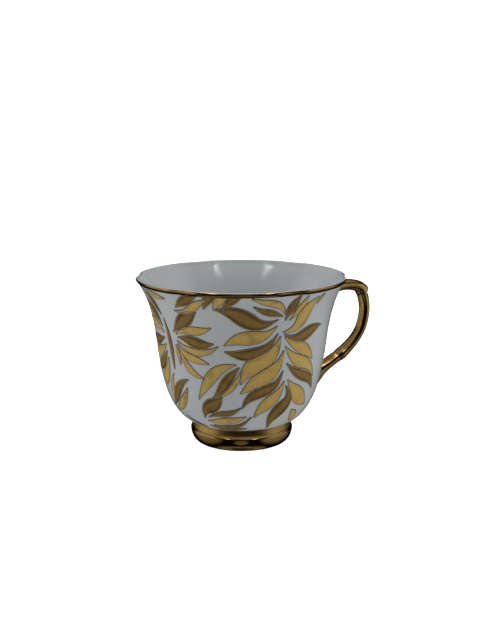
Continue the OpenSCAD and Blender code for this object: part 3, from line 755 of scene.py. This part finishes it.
def leaf_strip(leaf, turn_deg):
    """Points, depths and column count of one leaf's strip on the wall."""
    length = math.hypot((leaf[2] - leaf[0]) * print_k, leaf[3] - leaf[1])
    steps = max(14, int(length / 0.8))
    t = np.linspace(0, 1, steps + 1)
    tip_pad = 0.22 / length
    middle_line = leaf_middle(leaf, t)
    ahead = leaf_middle(leaf, t + 0.01) - leaf_middle(leaf, t - 0.01)
    ahead /= np.linalg.norm(ahead, axis=1, keepdims=True)
    half = point_w + leaf[4] / 2 * spread * np.sin(math.pi * t ** sharpness).clip(0) ** sharpness
    middle_line = np.concatenate([[middle_line[0] - ahead[0] * tip_pad * length], middle_line,
                                  [middle_line[-1] + ahead[-1] * tip_pad * length]])
    ahead = np.concatenate([[ahead[0]], ahead, [ahead[-1]]])
    half = np.concatenate([[0.03], half, [0.03]])
    side = np.stack([-ahead[:, 1], ahead[:, 0]], 1)
    # The left side of the middle line is the upper one when the leaf runs to the right
    left_line, right_line = (wide_line, fine_line) if leaf[2] > leaf[0] else (fine_line, wide_line)
    edge_in = np.minimum(margin, half * 0.35)
    columns = [-half - right_line - 0.03, -half - right_line, -half] + [(half - edge_in) * s for s in field]
    columns += [half, half + left_line, half + left_line + 0.03]
    rise = [-0.02, 0.15, 0.16] + list(0.07 + 0.05 * (1 - field ** 2)) + [0.16, 0.15, -0.02]
    depth = [0, 0, 0] + list(1 - np.abs(field)) + [0, 0, 0]
    points, depths = [], []
    for offset, height, inside in zip(columns, rise, depth):
        flat = middle_line + side * offset[:, None]
        z = bowl_z + (flat[:, 1] - print_low) * (edge_z - line_h - bowl_z) / (print_high - print_low)
        z = np.minimum(z, print_top)
        points.append(on_wall(flat[:, 0] / print_k + front_deg + turn_deg, z, height))
        depths.append(np.full(len(z), inside))
    return np.stack(points, 1), np.stack(depths, 1)


def spray_piece(name, node, rows, turn_deg, gold):
    """All the leaves of one CAD node as one mesh of slate line, gold field and bright hairline."""
    points, depths, faces, picks = [], [], [], []
    first = 0
    for leaf in rows:
        strip, depth = leaf_strip(leaf, turn_deg)
        count = strip.shape[1]
        kinds = [SLATE, SLATE, HAIRLINE] + [GOLD] * (count - 7) + [HAIRLINE, SLATE, SLATE]
        below_lip = strip[:, :, 2] < print_top - 0.12
        for n, face in enumerate(skin(len(strip), count, first, closed=False)):
            i, j = divmod(n, count - 1)
            if below_lip[i:i + 2, j:j + 2].any():
                faces.append(face)
                picks.append(SLATE if i in (0, len(strip) - 2) else kinds[j])
        points.append(strip.reshape(-1, 3))
        depths.append(depth.ravel())
        first += strip.shape[0] * count
    piece = make_piece(name, np.concatenate(points), faces, [slate_enamel, gold, bright_leaf_gold],
                       [node], picks)
    layer = piece.data.attributes.new("from_edge", "FLOAT", "POINT")
    layer.data.foreach_set("value", np.concatenate(depths).astype(np.float32))
    return piece


# %% [markdown]
# The print covers the cup all round. The main sprays repeat on the far side, half a turn on, and smaller
# ones fill the wall beside the handle. Each spray is made at its own turn round the axis.

# %% All the sprays
main_groups = ["branch", "fan", "pair", "sprig", "lip"]
placings = [(group, group, 0) for group in main_groups + ["side", "low"]]
placings += [("back_" + group, group, 180) for group in main_groups]
placings += [("cheek", "fan", 124), ("end_pair", "pair", -92)]
leaf_count = 0
for place_name, group, turn_deg in placings:
    for strength, gold in (("bright", bright_leaf_gold), ("dark", dark_leaf_gold)):
        rows = sprays[f"{group}_{strength}"]
        spray_piece(f"{place_name}_{strength}_print", f"{place_name}_{strength}_leaves", rows, turn_deg,
                    gold)
        leaf_count += len(rows)
print("printed leaves:", leaf_count)

# %% [markdown]
# ## Table, sky and lamp
# The cup stands on a plain white table in a white room. Gold shows what is round it, so most of the light
# comes from a sky that is painted band by band, and one soft lamp above adds the top light. The table is
# seen but isn't mirrored in the cup, because its white would wash out the dark streaks of the gold, and
# it lets a low camera look through it from below.

# %% Table
table_r, table_z = 3000, -0.02
table_points = [[table_r * math.cos(math.radians(a)), table_r * math.sin(math.radians(a)), table_z]
                for a in range(0, 360, 5)]
table_mesh = bpy.data.meshes.new("table")
table_mesh.from_pydata([tuple(c * MM for c in p) for p in table_points], [],
                       [tuple(range(len(table_points)))])
table = bpy.data.objects.new("table", table_mesh)
bpy.context.scene.collection.objects.link(table)
table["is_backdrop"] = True
table.visible_glossy = False
table.visible_diffuse = False
white_table, tree, shader = new_finish("white_table")
shader.inputs["Base Color"].default_value = hex_to_linear("#F4F4F4")
shader.inputs["Roughness"].default_value = 0.9
shader.inputs["Specular IOR Level"].default_value = 0.1
shader.inputs["Emission Color"].default_value = (1, 1, 1, 1)
shader.inputs["Emission Strength"].default_value = 0.86
side_seen = add_node(tree, "NewGeometry")
clear = add_node(tree, "BsdfTransparent")
one_sided = add_node(tree, "MixShader", {}, {0: side_seen.outputs["Backfacing"], 1: shader.outputs[0],
                                             2: clear.outputs[0]})
tree.links.new(one_sided.outputs[0], tree.nodes["Material Output"].inputs["Surface"])
table_mesh.materials.append(white_table)
print("table at z", table_z, "mm")

# %% [markdown]
# The sky is a function of direction alone. Clay and gloss look at it in two ways. Matt light comes from
# below, above and both sides, with hardly any straight from the viewer. Gloss sees a darker room: a pale
# ceiling, a dim table with one lighter patch low in front, a window at each side with faint light below
# it, and a dark gap where the viewer stands. The dark gap is what makes gold look like gold. The camera
# itself sees plain white.

# %% Sky
sky = bpy.data.worlds.new("white_room")
bpy.context.scene.world = sky
sky.use_nodes = True
tree = sky.node_tree
tree.nodes.clear()


def bands(tree, value, stops):
    """Grey levels along a value from -1 to 1."""
    place = add_node(tree, "MapRange", {}, {"Value": value, "From Min": -1.0, "From Max": 1.0})
    ramp = add_node(tree, "ValToRGB", {}, {"Fac": place.outputs["Result"]})
    ramp.color_ramp.elements[0].position = 0
    ramp.color_ramp.elements[1].position = 1
    for at, level in stops:
        if at in (-1, 1):
            stop = ramp.color_ramp.elements[0 if at == -1 else -1]
        else:
            stop = ramp.color_ramp.elements.new((at + 1) / 2)
        stop.color = (level, level, level, 1)
    return ramp.outputs["Color"]


def blend(tree, kind, a, b):
    """Two colours added or multiplied."""
    return add_node(tree, "Mix", {"data_type": "RGBA", "blend_type": kind},
                    {"Factor": 1.0, 6: a, 7: b}).outputs[2]


def facing(tree, way, aim):
    """How far each direction of the sky faces an aim, from -1 to 1."""
    return add_node(tree, "VectorMath", {"operation": "DOT_PRODUCT"},
                    {0: way, 1: tuple(aim)}).outputs["Value"]


way = add_node(tree, "TexCoord").outputs["Generated"]
rise = add_node(tree, "SeparateXYZ", {}, {0: way}).outputs["Z"]
to_viewer = facing(tree, way, back)
to_right = facing(tree, way, right)
matt_light = bands(tree, rise, [(-1, 0.68), (-0.5, 0.64), (-0.25, 0.06), (0.1, 0.01), (0.5, 0.03),
                                (0.75, 0.18), (1, 0.32)])
side_light = blend(tree, "MULTIPLY",
                   bands(tree, rise, [(-1, 0), (-0.4, 0.1), (-0.1, 0.9), (0.5, 1), (0.8, 0.5), (1, 0)]),
                   bands(tree, to_right, [(-1, 1), (-0.85, 0.95), (-0.58, 0.02), (0.58, 0.02),
                                          (0.85, 0.95), (1, 1)]))
matt_light = blend(tree, "ADD", matt_light, side_light)
high_light = blend(tree, "MULTIPLY",
                   bands(tree, rise, [(-1, 0), (0.3, 0), (0.5, 0.6), (0.8, 0.5), (0.92, 0), (1, 0)]),
                   bands(tree, to_right, [(-1, 1), (-0.4, 1), (-0.2, 0), (0.2, 0), (0.4, 1), (1, 1)]))
matt_light = blend(tree, "ADD", matt_light, high_light)
# Gloss: table and ceiling, then the lighter patch low in front, then the windows
room = bands(tree, rise, [(-1, 0.02), (-0.985, 0.01), (-0.96, 0.14), (-0.9, 0.14), (-0.86, 0.004),
                          (-0.2, 0.003), (0.6, 0.006), (0.7, 0.16), (0.8, 0.3), (1, 0.4)])
low_front = facing(tree, way, 0.82 * back - 0.57 * up)
room = blend(tree, "ADD", room, bands(tree, low_front, [(-1, 0.0), (0.965, 0.0), (0.98, 0.14), (1, 0.14)]))
windows = blend(tree, "MULTIPLY",
                bands(tree, rise, [(-1, 0), (-0.35, 0.0), (-0.2, 0.8), (0.45, 1), (0.65, 0), (1, 0)]),
                bands(tree, to_right, [(-1, 0.55), (-0.88, 0.55), (-0.8, 0), (0.82, 0), (0.9, 0.42),
                                       (1, 0.42)]))
# Two tall strips of bright light high on either side of the viewer, for the glints inside the bowl
strip_power = 11.0
strips = blend(tree, "MULTIPLY",
               bands(tree, rise, [(-1, 0), (0.55, 0), (0.75, 0.4), (0.87, 1), (0.92, 0), (1, 0)]),
               bands(tree, to_right, [(-1, 0), (-0.5, 0), (-0.44, 1), (-0.4, 1), (-0.34, 0), (0.34, 0),
                                      (0.4, 1), (0.44, 1), (0.5, 0), (1, 0)]))
strips = blend(tree, "MULTIPLY", strips, bands(tree, to_viewer, [(-1, 0), (0, 0), (0.1, 1), (1, 1)]))
strips = blend(tree, "MULTIPLY", strips, (strip_power, strip_power, strip_power, 1))
low_windows = blend(tree, "MULTIPLY",
                    bands(tree, rise, [(-1, 0.12), (-0.85, 0.12), (-0.3, 0.18), (-0.1, 0), (1, 0)]),
                    bands(tree, to_right, [(-1, 1), (-0.78, 1), (-0.6, 0), (0.6, 0), (0.78, 1), (1, 1)]))
gloss_light = blend(tree, "ADD", blend(tree, "ADD", room, windows), blend(tree, "ADD", strips, low_windows))
seen = add_node(tree, "LightPath")
lit = add_node(tree, "Mix", {"data_type": "RGBA"},
               {"Factor": seen.outputs["Is Glossy Ray"], 6: matt_light, 7: gloss_light})
light = add_node(tree, "Background", {}, {"Color": lit.outputs[2]})
plain = add_node(tree, "Background", {}, {"Color": (1, 1, 1, 1)})
pick = add_node(tree, "MixShader", {}, {0: seen.outputs["Is Camera Ray"], 1: light.outputs[0],
                                        2: plain.outputs[0]})
add_node(tree, "OutputWorld", {}, {"Surface": pick.outputs[0]})
print("sky nodes:", len(tree.nodes))

# %% [markdown]
# One flat soft lamp hangs over the cup, a little towards the viewer, and faces its middle. It's small
# beside the sky's light and only lifts the lip and the top of the handle. The colours are shown as they
# are, with no film look over them.

# %% Lamp
cup_middle = np.array([0, 0, 40.0])
lamp_place = cup_middle + 40 * back + 560 * up
lamp_data = bpy.data.lights.new("top_lamp", "AREA")
lamp_data.shape = "RECTANGLE"
lamp_data.size, lamp_data.size_y = 300 * MM, 110 * MM
lamp_data.energy = 0.22
lamp = bpy.data.objects.new("top_lamp", lamp_data)
bpy.context.scene.collection.objects.link(lamp)
lamp.location = lamp_place * MM
lamp.rotation_euler = Vector((cup_middle - lamp_place) * MM).to_track_quat("-Z", "Y").to_euler()
lamp.visible_camera = False
bpy.context.scene.view_settings.view_transform = "Standard"
print("lamp power:", round(lamp_data.energy, 2), "W")

# %% [markdown]
# ## Sizes
# Both boxes are printed, the CAD model's and the dressed cup's, so that the two sizes can be set side by
# side.

# %% Sizes and finish
bpy.context.view_layer.update()
visual_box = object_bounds()
for name, box in (("CAD", cad_box), ("visual", visual_box)):
    print(name, [[round(c / MM, 2) for c in corner] for corner in box])
